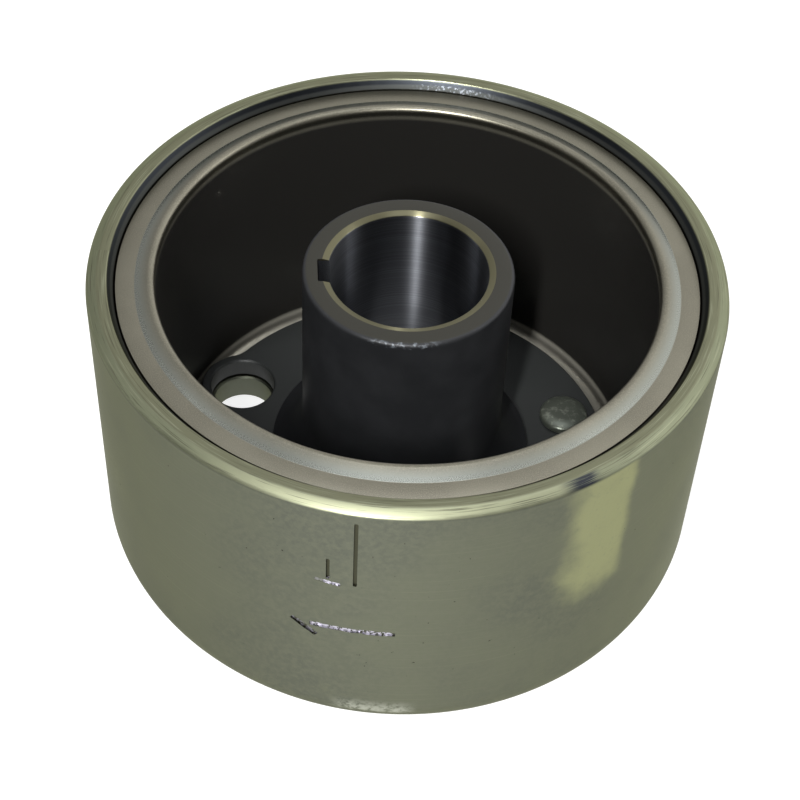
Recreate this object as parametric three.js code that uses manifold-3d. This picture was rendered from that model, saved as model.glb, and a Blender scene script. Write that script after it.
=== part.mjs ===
// Magneto flywheel of a small engine: a steel drum with a riveted hub, lined with arc magnets that a thin
// drawn sleeve holds in place. Millimetres and degrees, +Z along the turning axis towards the open side.
// The origin is the centre of the drum's closed face. Angles run counter-clockwise from +X, seen from the
// open side.
import * as THREE from "three";
import { mergeVertices } from "three/addons/utils/BufferGeometryUtils.js";
import Module from "manifold-3d";

const wasm = await Module();
wasm.setup();

// ---------------------------------------------------------------- driving dimensions

// Drum
const DRUM_RADIUS = 60;
const DRUM_HEIGHT = 63.5;
const DRUM_WALL = 5.1;
const FLOOR_THICKNESS = 6;
const RIM_CHAMFER_WIDTH = 1.9;
const RIM_CHAMFER_HEIGHT = 1;
const MOUTH_WIDTH = 1.25; // the cone that leads into the drum, across and down
const MOUTH_DEPTH = 2;
const FOOT_WIDTH = 2.4; // the rounding round the closed face, across and up
const FOOT_HEIGHT = 4.2;

// Magnet ring
const MAGNET_COUNT = 6;
const MAGNET_THICKNESS = 6;
const SEPARATOR_WIDTH = 6;
const LOWER_RING_HEIGHT = 8;
const UPPER_RING_HEIGHT = 5;

// Sleeve over the magnets
const SHEET_THICKNESS = 1;
const LIP_RADIUS = 1.1; // outside radius where the lip turns down into the wall
const LIP_RISE = 1.1; // the lip's crown above the flat flange
const LIP_SLOPE = 24; // degrees, from the flat flange up to the crown
const LIP_SETBACK = 0.8; // the lip's crown below the drum's rim
const CURL_RADIUS = 3; // inside radius of the turned-in bottom edge

// Hub
const BORE_MOUTH_RADIUS = 15.1;
const BORE_TAPER = 1 / 10; // on the diameter
const BORE_CHAMFER_WIDTH = 1.3;
const BORE_CHAMFER_HEIGHT = 0.4;
const HUB_WALL = 4.9; // round the bore's wide end
const HUB_CHAMFER_WIDTH = 0.7;
const HUB_CHAMFER_HEIGHT = 1;
const HUB_SETBACK = 0.7; // the hub's nose below the drum's rim
const SPIGOT_SETBACK = 0.5; // the hub's tail inside the drum's closed face
const FLANGE_THICKNESS = 4.4;
const COLLAR_HEIGHT = 3.8; // the step left round the hub where the flange is faced off
const COLLAR_SHARE = 0.55; // how far the step reaches across the room between the hub and the rivet heads
const FLARE_RADIUS = 12;
const NUT_POCKET_DEPTH = 11.5;
const NUT_SEAT_WIDTH = 3.4;
const KEYWAY_WIDTH = 6;
const KEYWAY_DEPTH = 2; // past the bore's wide end
const KEYWAY_ANGLE = 185.3;

// Lugs with a bolt hole each
const LUG_COUNT = 2;
const LUG_RADIUS = 8.7;
const LUG_BLEND = 6;
const LUG_HOLE_RADIUS = 6.7;
const FLOOR_HOLE_RADIUS = 6.25;
const FIRST_LUG_ANGLE = 154;

// Rivets
const RIVET_SHANK_RADIUS = 3.1;
const RIVET_HEAD_RADIUS = 5;
const RIVET_HEAD_HEIGHT = 2;
const RIVET_EDGE_DISTANCE = 7.3; // from the flange's edge
const SINK_DEPTH = 2.4; // the countersink for a rivet's tail
const PITCH_ANGLE = 45; // lugs and rivets share the places of one ring

// Marks on the drum's wall
const MARK_DEPTH = 0.4;
const MARK_WIDTH = 0.8;
const LINE_ANGLE = -96.2;
const LINE_LENGTH = 17.3;
const LINE_SETBACK = 3.1; // below the drum's rim
const TICK_ANGLE = -100.8;
const TICK_LENGTH = 5.3;
const TICK_RISE = 1.2; // the tick's foot above the line's
const ARROW_START = -89.1;
const ARROW_TIP = -106.8;
const ARROW_SETBACK = 33.6; // below the drum's rim
const BARB_LENGTH = 4.6;
const BARB_SLOPE = 36;

// Fits
const GAP = 0.3; // between faces that touch
const SLEEVE_TO_LUG = 0.6;
const SLEEVE_TO_FLANGE = 0.5;

const RING_STEPS = 72;
const SMALL_STEPS = 20;
const BLEND_STEP = 18; // degrees, along small arcs
const PAST = 1; // how far a cutter runs past the face it cuts

// ---------------------------------------------------------------- sizes that follow

const drumBore = DRUM_RADIUS - DRUM_WALL;
const magnetOuter = drumBore - GAP;
const magnetInner = magnetOuter - MAGNET_THICKNESS;
const sleeveOuter = magnetInner - GAP;
const sleeveInner = sleeveOuter - SHEET_THICKNESS;

const lipCrown = DRUM_HEIGHT - LIP_SETBACK;
const sleeveFlangeTop = lipCrown - LIP_RISE;
const innerFloor = FLOOR_THICKNESS + GAP;
const lowerRingTop = innerFloor + LOWER_RING_HEIGHT;
const upperRingTop = sleeveFlangeTop - SHEET_THICKNESS - GAP;
const magnetBottom = lowerRingTop + GAP;
const magnetTop = upperRingTop - UPPER_RING_HEIGHT - GAP;

const hubRadius = BORE_MOUTH_RADIUS + HUB_WALL;
const hubTop = DRUM_HEIGHT - HUB_SETBACK;
const flangeTop = innerFloor + FLANGE_THICKNESS;
const flangeRadius = sleeveInner - CURL_RADIUS - SLEEVE_TO_FLANGE - GAP;
const lugCircle = sleeveInner - SLEEVE_TO_LUG - LUG_RADIUS;
const rivetCircle = flangeRadius - RIVET_EDGE_DISTANCE;
const collarRadius = hubRadius + COLLAR_SHARE * (rivetCircle - RIVET_HEAD_RADIUS - hubRadius);
const collarTop = flangeTop + COLLAR_HEIGHT;

const places = Array.from({ length: 360 / PITCH_ANGLE }, (_, i) => FIRST_LUG_ANGLE + i * PITCH_ANGLE);
const isLug = (_, i) => i % (places.length / LUG_COUNT) === 0;
const lugAngles = places.filter(isLug);
const rivetAngles = places.filter((angle, i) => !isLug(angle, i));

// ---------------------------------------------------------------- helpers

const radians = THREE.MathUtils.degToRad;
const degrees = THREE.MathUtils.radToDeg;
const polar = (radius, angle) => new THREE.Vector2(radius, 0).rotateAround(new THREE.Vector2(), radians(angle));

// Points along an arc, in even steps of about stepAngle.
function arc(center, radius, from, to, stepAngle) {
  const steps = Math.max(1, Math.round(Math.abs(to - from) / stepAngle));
  return Array.from({ length: steps + 1 }, (_, i) =>
    polar(radius, from + ((to - from) * i) / steps).add(center),
  );
}

// A closed geometry as a manifold solid.
function toSolid(geometry) {
  geometry.deleteAttribute("normal");
  geometry.deleteAttribute("uv");
  const merged = mergeVertices(geometry, 1e-4);
  return new wasm.Manifold(
    new wasm.Mesh({
      numProp: 3,
      vertProperties: merged.attributes.position.array,
      triVerts: new Uint32Array(merged.index.array),
    }),
  );
}

function toGeometry(solid) {
  const mesh = solid.getMesh();
  return new THREE.BufferGeometry()
    .setAttribute("position", new THREE.BufferAttribute(mesh.vertProperties, 3))
    .setIndex(new THREE.BufferAttribute(mesh.triVerts, 1));
}

// A turned ring: its section in radius and height, listed counter-clockwise.
function turned(section, steps = RING_STEPS) {
  const geometry = new THREE.LatheGeometry([...section, section[0]], steps);
  return toSolid(geometry.rotateX(Math.PI / 2));
}

const point = (radius, height) => new THREE.Vector2(radius, height);

// A flat outline raised from one height to another.
function raised(outline, bottom, top) {
  const shape = new THREE.Shape(outline);
  const geometry = new THREE.ExtrudeGeometry(shape, { depth: top - bottom, bevelEnabled: false });
  return toSolid(geometry.translate(0, 0, bottom));
}

// A piece of a ring between two angles.
function sector(inner, outer, from, to, bottom, top) {
  const center = point(0, 0);
  const stepAngle = 360 / RING_STEPS;
  const outline = [...arc(center, outer, from, to, stepAngle), ...arc(center, inner, to, from, stepAngle)];
  return raised(outline, bottom, top);
}

function disc(center, radius, bottom, top) {
  return raised(arc(center, radius, 0, 360, 360 / SMALL_STEPS).slice(1), bottom, top);
}

// A groove cut square into the drum's wall, turned by slope away from upright.
function groove(angle, height, length, slope) {
  const box = new THREE.BoxGeometry(2 * MARK_DEPTH, MARK_WIDTH, length);
  box.rotateX(radians(slope)).translate(DRUM_RADIUS, 0, height).rotateZ(radians(angle));
  return toSolid(box);
}

const cut = (solid, cutters) => cutters.reduce((rest, cutter) => rest.subtract(cutter), solid);

// ---------------------------------------------------------------- pieces

function drum() {
  const foot = arc(point(0, 0), 1, -90, 0, 30).map((p) =>
    point(DRUM_RADIUS - FOOT_WIDTH + FOOT_WIDTH * p.x, FOOT_HEIGHT + FOOT_HEIGHT * p.y),
  );
  const body = turned([
    point(hubRadius + GAP, 0),
    ...foot,
    point(DRUM_RADIUS, DRUM_HEIGHT - RIM_CHAMFER_HEIGHT),
    point(DRUM_RADIUS - RIM_CHAMFER_WIDTH, DRUM_HEIGHT),
    point(drumBore + MOUTH_WIDTH, DRUM_HEIGHT),
    point(drumBore, DRUM_HEIGHT - MOUTH_DEPTH),
    point(drumBore, FLOOR_THICKNESS),
    point(hubRadius + GAP, FLOOR_THICKNESS),
  ]);
  const boltHoles = lugAngles.map((angle) =>
    disc(polar(lugCircle, angle), FLOOR_HOLE_RADIUS, -PAST, FLOOR_THICKNESS + PAST),
  );
  const rivetHoles = rivetAngles.map(countersunkHole);
  return cut(body, [...boltHoles, ...rivetHoles, ...marks()]);
}

// The hole in the drum's floor, with the countersink that a rivet's tail fills.
function countersunkHole(angle) {
  const radius = RIVET_SHANK_RADIUS + GAP;
  const place = polar(rivetCircle, angle);
  const hole = turned(
    [
      point(0, -PAST),
      point(radius + SINK_DEPTH + PAST, -PAST),
      point(radius, SINK_DEPTH),
      point(radius, FLOOR_THICKNESS + PAST),
      point(0, FLOOR_THICKNESS + PAST),
    ],
    SMALL_STEPS,
  );
  return hole.translate([place.x, place.y, 0]);
}

// The long timing line, the short tick beside it, and the arrow for the sense of rotation, which has
// one barb, below its shaft.
function marks() {
  const lineTop = DRUM_HEIGHT - LINE_SETBACK;
  const lineBottom = lineTop - LINE_LENGTH;
  const arrowHeight = DRUM_HEIGHT - ARROW_SETBACK;
  const barbReach = (BARB_LENGTH / 2) * Math.cos(radians(BARB_SLOPE));
  const barbRise = (BARB_LENGTH / 2) * Math.sin(radians(BARB_SLOPE));
  const barbAngle = ARROW_TIP + degrees(barbReach / DRUM_RADIUS);
  const shaft = sector(
    DRUM_RADIUS - MARK_DEPTH,
    DRUM_RADIUS + MARK_DEPTH,
    ARROW_TIP,
    ARROW_START,
    arrowHeight - MARK_WIDTH / 2,
    arrowHeight + MARK_WIDTH / 2,
  );
  return [
    groove(LINE_ANGLE, lineTop - LINE_LENGTH / 2, LINE_LENGTH, 0),
    groove(TICK_ANGLE, lineBottom + TICK_RISE + TICK_LENGTH / 2, TICK_LENGTH, 0),
    shaft,
    groove(barbAngle, arrowHeight - barbRise, BARB_LENGTH, 90 - BARB_SLOPE),
  ];
}

// The flange's outline: a circle with round lugs, blended into it by hollow arcs.
function flangeOutline() {
  const reach = flangeRadius + LUG_BLEND;
  const span = LUG_RADIUS + LUG_BLEND;
  const cosine = (reach ** 2 + lugCircle ** 2 - span ** 2) / (2 * reach * lugCircle);
  const blendAngle = degrees(Math.acos(cosine));
  const lugSwing = degrees(polar(reach, blendAngle).sub(point(lugCircle, 0)).angle());
  const blend = (side, angle, from, to) =>
    arc(polar(reach, angle + side * blendAngle), LUG_BLEND, angle + 180 + from, angle + 180 + to, BLEND_STEP);
  return lugAngles.flatMap((angle) => [
    ...blend(-1, angle, -blendAngle, -lugSwing),
    ...arc(polar(lugCircle, angle), LUG_RADIUS, angle - lugSwing, angle + lugSwing, BLEND_STEP).slice(1, -1),
    ...blend(1, angle, lugSwing, blendAngle),
    ...arc(
      point(0, 0),
      flangeRadius,
      angle + blendAngle,
      angle + 360 / LUG_COUNT - blendAngle,
      360 / RING_STEPS,
    ).slice(1, -1),
  ]);
}

// The hub: a tube with a tapered bore, a flared foot and a lugged flange, in one forging.
function hub() {
  const flareAngle = degrees(Math.acos(1 - (collarRadius - hubRadius) / FLARE_RADIUS));
  const flareCenter = point(hubRadius + FLARE_RADIUS, collarTop + FLARE_RADIUS * Math.sin(radians(flareAngle)));
  const boreTop = hubTop - BORE_CHAMFER_HEIGHT;
  const boreEnd = BORE_MOUTH_RADIUS - ((boreTop - NUT_POCKET_DEPTH) * BORE_TAPER) / 2;
  const pocketRadius = boreEnd + NUT_SEAT_WIDTH;
  const tail = SPIGOT_SETBACK;
  const body = turned([
    point(pocketRadius + HUB_CHAMFER_WIDTH, tail),
    point(hubRadius - HUB_CHAMFER_WIDTH, tail),
    point(hubRadius, tail + HUB_CHAMFER_WIDTH),
    point(hubRadius, innerFloor + FLANGE_THICKNESS / 2),
    point(collarRadius, innerFloor + FLANGE_THICKNESS / 2),
    ...arc(flareCenter, FLARE_RADIUS, 180 + flareAngle, 180, BLEND_STEP),
    point(hubRadius, hubTop - HUB_CHAMFER_HEIGHT),
    point(hubRadius - HUB_CHAMFER_WIDTH, hubTop),
    point(BORE_MOUTH_RADIUS + BORE_CHAMFER_WIDTH, hubTop),
    point(BORE_MOUTH_RADIUS, boreTop),
    point(boreEnd, NUT_POCKET_DEPTH),
    point(pocketRadius, NUT_POCKET_DEPTH),
    point(pocketRadius, tail + HUB_CHAMFER_WIDTH),
  ]);
  const flange = raised(flangeOutline(), innerFloor, flangeTop);
  const core = disc(point(0, 0), hubRadius - HUB_WALL / 2, innerFloor - PAST, flangeTop + PAST);
  const key = new THREE.BoxGeometry(BORE_MOUTH_RADIUS + KEYWAY_DEPTH, KEYWAY_WIDTH, hubTop + 2 * PAST);
  key.translate((BORE_MOUTH_RADIUS + KEYWAY_DEPTH) / 2, 0, hubTop / 2).rotateZ(radians(KEYWAY_ANGLE));
  const holes = (circle, radius) => (angle) =>
    disc(polar(circle, angle), radius, innerFloor - PAST, collarTop + PAST);
  return cut(body.add(flange.subtract(core)), [
    toSolid(key),
    ...lugAngles.map(holes(lugCircle, LUG_HOLE_RADIUS)),
    ...rivetAngles.map(holes(rivetCircle, RIVET_SHANK_RADIUS + GAP)),
  ]);
}

// The sleeve: thin sheet drawn to a flat flange, a slope up to a lip, the wall over the magnets and a
// turned-in bottom edge, which is notched where the hub's lugs reach the wall.
function sleeve() {
  const half = SHEET_THICKNESS / 2;
  const lipMiddle = LIP_RADIUS - half;
  const lipCenter = point(sleeveInner + LIP_RADIUS, lipCrown - LIP_RADIUS);
  const flangeMiddle = sleeveFlangeTop - half;
  const slopeTop = polar(lipMiddle, 90 - LIP_SLOPE).add(lipCenter);
  const slopeFoot = slopeTop.x + (slopeTop.y - flangeMiddle) / Math.tan(radians(LIP_SLOPE));
  const curlCenter = point(sleeveInner - CURL_RADIUS, innerFloor + SHEET_THICKNESS + CURL_RADIUS);
  const middle = [
    point(drumBore - GAP, flangeMiddle),
    point(slopeFoot, flangeMiddle),
    ...arc(lipCenter, lipMiddle, 90 - LIP_SLOPE, 180, BLEND_STEP),
    ...arc(curlCenter, CURL_RADIUS + half, 0, -90, BLEND_STEP),
  ];
  const body = turned([...offset(middle, half), ...offset(middle, -half).reverse()].reverse());
  const notches = lugAngles.map((angle) =>
    disc(polar(lugCircle, angle), LUG_RADIUS + GAP, innerFloor - PAST, flangeTop + GAP),
  );
  return cut(body, notches);
}

// A line moved sideways by a distance, square to its own run at each point.
function offset(line, distance) {
  return line.map((p, i) => {
    const into = line[i].clone().sub(line[Math.max(i - 1, 0)]);
    const out = line[Math.min(i + 1, line.length - 1)].clone().sub(line[i]);
    const a = into.length() ? into.normalize() : out.clone().normalize();
    const b = out.length() ? out.normalize() : a;
    const side = point(-(a.y + b.y), a.x + b.x).normalize();
    const stretch = 1 / Math.sqrt((1 + a.dot(b)) / 2);
    return p.clone().addScaledVector(side, distance * stretch);
  });
}

function spacerRing(bottom, top) {
  return turned([
    point(magnetInner, bottom),
    point(magnetOuter, bottom),
    point(magnetOuter, top),
    point(magnetInner, top),
  ]);
}

// A rivet: a low round head on the flange, a shank, and a tail that fills the floor's countersink.
function rivet() {
  const seat = flangeTop + GAP;
  const tail = SPIGOT_SETBACK;
  const tailRadius = RIVET_SHANK_RADIUS + SINK_DEPTH - tail;
  return turned(
    [
      point(0, tail),
      point(tailRadius, tail),
      point(RIVET_SHANK_RADIUS, SINK_DEPTH),
      point(RIVET_SHANK_RADIUS, seat),
      point(RIVET_HEAD_RADIUS, seat),
      point(RIVET_HEAD_RADIUS, seat + RIVET_HEAD_HEIGHT / 2),
      point(RIVET_HEAD_RADIUS * 0.8, seat + RIVET_HEAD_HEIGHT * 0.9),
      point(0, seat + RIVET_HEAD_HEIGHT),
    ],
    SMALL_STEPS,
  );
}

// ---------------------------------------------------------------- assembly

const flywheel = new THREE.Group();

const finishes = {
  turnedSteel: { color: 0x7c7a69, roughness: 0.45, metalness: 1 },
  blackedSteel: { color: 0x2c2d30, roughness: 0.5, metalness: 0.8 },
  drawnSteel: { color: 0x8b877a, roughness: 0.4, metalness: 1 },
  rivetSteel: { color: 0x80837b, roughness: 0.45, metalness: 1 },
  ferrite: { color: 0x303032, roughness: 0.7, metalness: 0.1 },
  resin: { color: 0x3b2f26, roughness: 0.6, metalness: 0 },
  castAluminium: { color: 0xa5a7a8, roughness: 0.5, metalness: 1 },
};

function addPiece(name, solid, finish, parent = flywheel) {
  const mesh = new THREE.Mesh(toGeometry(solid), new THREE.MeshStandardMaterial(finishes[finish]));
  mesh.name = name;
  parent.add(mesh);
  return mesh;
}

addPiece("drum", drum(), "turnedSteel");
addPiece("hub", hub(), "blackedSteel");
addPiece("magnet_sleeve", sleeve(), "drawnSteel");
addPiece("lower_spacer_ring", spacerRing(innerFloor, lowerRingTop), "castAluminium");
addPiece("upper_resin_ring", spacerRing(upperRingTop - UPPER_RING_HEIGHT, upperRingTop), "resin");

const magnetRing = new THREE.Group();
flywheel.add(magnetRing);
const magnetPitch = 360 / MAGNET_COUNT;
const separatorHalf = degrees(SEPARATOR_WIDTH / 2 / magnetInner);
const magnetEnd = separatorHalf + degrees(GAP / magnetInner);
for (let i = 0; i < MAGNET_COUNT; i++) {
  const start = FIRST_LUG_ANGLE + i * magnetPitch;
  const block = (from, to) => sector(magnetInner, magnetOuter, start + from, start + to, magnetBottom, magnetTop);
  addPiece(`magnet_${i + 1}`, block(magnetEnd, magnetPitch - magnetEnd), "ferrite", magnetRing);
  addPiece(`magnet_separator_${i + 1}`, block(-separatorHalf, separatorHalf), "resin", magnetRing);
}

rivetAngles.forEach((angle, i) => {
  const mesh = addPiece(`rivet_${i + 1}`, rivet(), "rivetSteel");
  const place = polar(rivetCircle, angle);
  mesh.position.set(place.x, place.y, 0);
});

export default flywheel;
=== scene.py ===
# %% [markdown]
# # A magneto flywheel
# The flywheel of a small engine is a thick steel cup. A hub is riveted to its floor, magnets line its
# wall, and a thin drawn sleeve keeps the magnets in place. Nothing inside it moves, so every piece
# rides on one body.
#
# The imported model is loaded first. It fixes every size and place, and this script only builds finer
# surfaces round it and gives them their finishes.

# %% Load the fixed frame
from math import acos, atan2, cos, degrees, radians, sin, tan, tau

import bmesh
import bpy
from mathutils import Matrix, Vector


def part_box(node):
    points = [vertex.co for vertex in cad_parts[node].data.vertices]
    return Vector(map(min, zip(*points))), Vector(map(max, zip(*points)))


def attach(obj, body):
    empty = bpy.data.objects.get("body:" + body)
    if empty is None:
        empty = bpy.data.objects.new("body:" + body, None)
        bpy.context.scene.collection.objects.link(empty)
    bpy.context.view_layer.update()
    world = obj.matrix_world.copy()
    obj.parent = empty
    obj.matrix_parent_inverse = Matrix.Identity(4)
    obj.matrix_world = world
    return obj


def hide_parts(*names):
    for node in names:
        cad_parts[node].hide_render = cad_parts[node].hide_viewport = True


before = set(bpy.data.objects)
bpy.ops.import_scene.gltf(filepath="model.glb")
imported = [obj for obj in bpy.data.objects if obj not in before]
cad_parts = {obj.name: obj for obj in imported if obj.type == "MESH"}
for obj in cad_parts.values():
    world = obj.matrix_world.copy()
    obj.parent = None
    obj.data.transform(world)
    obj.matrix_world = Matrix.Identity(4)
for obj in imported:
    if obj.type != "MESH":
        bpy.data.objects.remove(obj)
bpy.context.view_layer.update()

# %% [markdown]
# ## Sizes
# The overall sizes are read from the frame, in metres. The smaller ones are the part's own, written in
# millimetres, because that is how a machinist's drawing gives them.

# %% Sizes from the frame and from the drawing
MM = 0.001
_, drum_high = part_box("drum")
_, hub_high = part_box("hub")
_, sleeve_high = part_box("magnet_sleeve")
DRUM_RADIUS = drum_high.x
DRUM_HEIGHT = drum_high.z
HUB_TOP = hub_high.z
SLEEVE_RADIUS = sleeve_high.x
LIP_CROWN = sleeve_high.z

DRUM_BORE = DRUM_RADIUS - 5.1 * MM
SLEEVE_INNER = DRUM_BORE - 7.6 * MM
FLOOR = 6 * MM
GAP = 0.3 * MM
HUB_RADIUS = 20 * MM
FLANGE_UNDER = FLOOR + GAP
FLANGE_TOP = FLANGE_UNDER + 4.4 * MM
FLANGE_RADIUS = SLEEVE_INNER - 3.8 * MM
LUG_RADIUS = 8.7 * MM
LUG_CIRCLE = SLEEVE_INNER - 0.6 * MM - LUG_RADIUS
RIVET_CIRCLE = FLANGE_RADIUS - 7.3 * MM
PLACES = [154 + 45 * i for i in range(8)]
LUG_ANGLES = PLACES[::4]
RIVET_ANGLES = [angle for angle in PLACES if angle not in LUG_ANGLES]
KEYWAY_ANGLE = 185.3
print("sleeve opening radius", round(SLEEVE_INNER / MM, 2), "mm")


def polar(radius, angle, height=0.0):
    """A place at a distance from the turning axis, at an angle in degrees from +X."""
    return Vector((radius * cos(radians(angle)), radius * sin(radians(angle)), height))


# %% [markdown]
# ## Drawing a section
# Almost every piece is a turned one, so its shape is a section that is spun round the axis. The section
# starts as a flat face with sharp corners. A vertex bevel then rounds each corner by its own amount,
# which keeps the list of points as short as the drawing of the real piece.

# %% Section and spin helpers
RING_STEPS = 256


def section_face(bm, corners):
    """A flat face in the XZ plane from (radius, height, rounding) corners in metres."""
    verts = [bm.verts.new((r, 0, z)) for r, z, _ in corners]
    bm.faces.new(verts)
    for vert, (_, _, rounding) in zip(verts, corners):
        if rounding:
            bmesh.ops.bevel(
                bm, geom=[vert], offset=rounding, offset_type="OFFSET", segments=4 + int(rounding / MM),
                profile=0.5, affect="VERTICES", material=-1,
            )
    bmesh.ops.delete(bm, geom=bm.faces[:], context="FACES_ONLY")


def spin_round(bm, steps=RING_STEPS):
    """Spins every edge of the bmesh once round the turning axis and closes the seam."""
    bmesh.ops.spin(
        bm, geom=bm.verts[:] + bm.edges[:], cent=(0, 0, 0), axis=(0, 0, 1), dvec=(0, 0, 0),
        angle=tau, steps=steps, use_merge=True, use_normal_flip=False, use_duplicate=False,
    )
    bmesh.ops.remove_doubles(bm, verts=bm.verts[:], dist=1e-7)
    bmesh.ops.dissolve_degenerate(bm, edges=bm.edges[:], dist=1e-8)
    bmesh.ops.recalc_face_normals(bm, faces=bm.faces[:])


def to_object(bm, name):
    """Turns a bmesh into an object at the origin."""
    mesh = bpy.data.meshes.new(name)
    bm.to_mesh(mesh)
    bm.free()
    piece = bpy.data.objects.new(name, mesh)
    bpy.context.collection.objects.link(piece)
    return piece


def turned(name, corners, steps=RING_STEPS, at=(0, 0, 0)):
    """A solid of revolution from a closed section, moved to its place in its mesh."""
    bm = bmesh.new()
    section_face(bm, corners)
    spin_round(bm, steps)
    bmesh.ops.translate(bm, verts=bm.verts[:], vec=at)
    return to_object(bm, name)


def apply_modifiers(piece):
    """Replaces a piece's mesh by what its modifiers make of it."""
    shown = piece.evaluated_get(bpy.context.evaluated_depsgraph_get())
    mesh = bpy.data.meshes.new_from_object(shown)
    piece.modifiers.clear()
    piece.data = mesh


def carve(piece, cutters, operation="DIFFERENCE"):
    """Cuts solids out of a piece, or joins them to it, and removes them afterwards."""
    for cutter in cutters:
        tool = piece.modifiers.new(cutter.name, "BOOLEAN")
        tool.operation = operation
        tool.solver = "EXACT"
        tool.object = cutter
    apply_modifiers(piece)
    for cutter in cutters:
        bpy.data.objects.remove(cutter)


def finish_surface(piece, angle=32):
    """Shades a piece smooth, with a crease wherever two faces meet more sharply than the angle."""
    piece.data.shade_smooth()
    piece.data.set_sharp_from_angle(angle=radians(angle))
    print(piece.name, len(piece.data.polygons), "faces")


# %% [markdown]
# ## The drum
# The real drum is forged and then turned all over. Its rim has a broad outer chamfer, a flat land and a
# cone that leads into the bore. Its closed end is rounded at the corner. One section holds all of it.

# %% Turn the drum
RIM_CHAMFER, RIM_DROP = 1.95 * MM, 1.05 * MM
CONE_WIDTH, CONE_DEPTH = 1.25 * MM, 2 * MM
CORNER_WIDTH, CORNER_HEIGHT = 2.6 * MM, 4.5 * MM
drum = turned("drum_shell", [
    (HUB_RADIUS + GAP, 0, 0.4 * MM),
    (DRUM_RADIUS - CORNER_WIDTH, 0, 1.6 * MM),
    (DRUM_RADIUS, CORNER_HEIGHT, 2.4 * MM),
    (DRUM_RADIUS, DRUM_HEIGHT - RIM_DROP, 0.45 * MM),
    (DRUM_RADIUS - RIM_CHAMFER, DRUM_HEIGHT, 0.4 * MM),
    (DRUM_BORE + CONE_WIDTH, DRUM_HEIGHT, 0.12 * MM),
    (DRUM_BORE, DRUM_HEIGHT - CONE_DEPTH, 0.3 * MM),
    (DRUM_BORE, FLOOR, 0),
    (HUB_RADIUS + GAP, FLOOR, 0.4 * MM),
], steps=512)
print("drum", len(drum.data.polygons), "faces before cutting")

# %% [markdown]
# Holes in the real floor are drilled, and their mouths are broken with a countersink so that no burr is
# left. A hole is therefore cut by a spun tool that flares at both ends. The rivets' tails fill much
# deeper countersinks from the closed side.

# %% Drill the floor
PAST = 1 * MM
BREAK = 0.35 * MM


def drill(name, place, radius, bottom, top):
    """A cutter for a through hole with both mouths broken."""
    wide = radius + BREAK + PAST
    return turned(name, [
        (0, bottom - PAST, 0), (wide, bottom - PAST, 0), (radius, bottom + BREAK, 0),
        (radius, top - BREAK, 0), (wide, top + PAST, 0), (0, top + PAST, 0),
    ], steps=96, at=place)


def countersink(name, place, radius, depth, top):
    """A cutter for a rivet hole: a cone from the closed side and a plain hole above it."""
    wide = radius + depth + PAST
    return turned(name, [
        (0, -PAST, 0), (wide, -PAST, 0), (radius, depth, 0), (radius, top, 0), (0, top, 0),
    ], steps=64, at=place)


BOLT_HOLE, RIVET_HOLE, SINK = 6.25 * MM, 3.25 * MM, 2.4 * MM
bolt_drills = [
    drill(f"bolt_drill_{i}", polar(LUG_CIRCLE, a), BOLT_HOLE, 0, FLOOR) for i, a in enumerate(LUG_ANGLES)
]
rivet_drills = [
    countersink(f"rivet_drill_{i}", polar(RIVET_CIRCLE, a), RIVET_HOLE, SINK, FLOOR + PAST)
    for i, a in enumerate(RIVET_ANGLES)
]
carve(drum, bolt_drills + rivet_drills)
print("drilled", len(bolt_drills), "bolt holes and", len(rivet_drills), "rivet holes")

# %% [markdown]
# The wall carries a long timing line with a short tick beside it, both milled, and an arrow for the
# sense of rotation, struck by hand with a chisel. A struck mark isn't even, so the arrow's shaft and its
# one barb are rows of overlapping chisel cuts of slightly different depth and slope. Under the tick are
# three plain punch marks, each deeper than the one before.

# %% Marks on the wall
import random
chisel = random.Random(7)
END_ROUNDING = 0.3 * MM


def groove(name, angle, height, length, width, depth, slope=0.0):
    """A round-ended milling cut into the wall, leaning by slope degrees from upright."""
    bm = bmesh.new()
    bmesh.ops.create_cube(bm, size=1)
    bmesh.ops.scale(bm, vec=(2 * depth, width, length), verts=bm.verts[:])
    upright = [e for e in bm.edges if abs(e.verts[0].co.x - e.verts[1].co.x) > depth]
    bmesh.ops.bevel(
        bm, geom=upright, offset=END_ROUNDING, offset_type="OFFSET", segments=4,
        profile=0.5, affect="EDGES", material=-1,
    )
    turn = Matrix.Rotation(radians(slope), 4, "X")
    place = Matrix.Rotation(radians(angle), 4, "Z") @ Matrix.Translation((DRUM_RADIUS, 0, height))
    bmesh.ops.transform(bm, matrix=place @ turn, verts=bm.verts[:])
    bmesh.ops.recalc_face_normals(bm, faces=bm.faces[:])
    return to_object(bm, name)


LINE_ANGLE, LINE_TOP, LINE_LENGTH = -96.2, DRUM_HEIGHT - 3.1 * MM, 17.3 * MM
LINE_BOTTOM = LINE_TOP - LINE_LENGTH
TICK_ANGLE, TICK_LENGTH = -100.8, 5.6 * MM
TICK_CENTRE = LINE_BOTTOM + 0.95 * MM + TICK_LENGTH / 2
LINE_WIDTH, TICK_WIDTH, MARK_DEPTH = 0.72 * MM, 0.66 * MM, 0.4 * MM
milled = [
    groove("line", LINE_ANGLE, LINE_TOP - LINE_LENGTH / 2, LINE_LENGTH, LINE_WIDTH, MARK_DEPTH),
    groove("tick", TICK_ANGLE, TICK_CENTRE, TICK_LENGTH, TICK_WIDTH, MARK_DEPTH),
]

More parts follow.
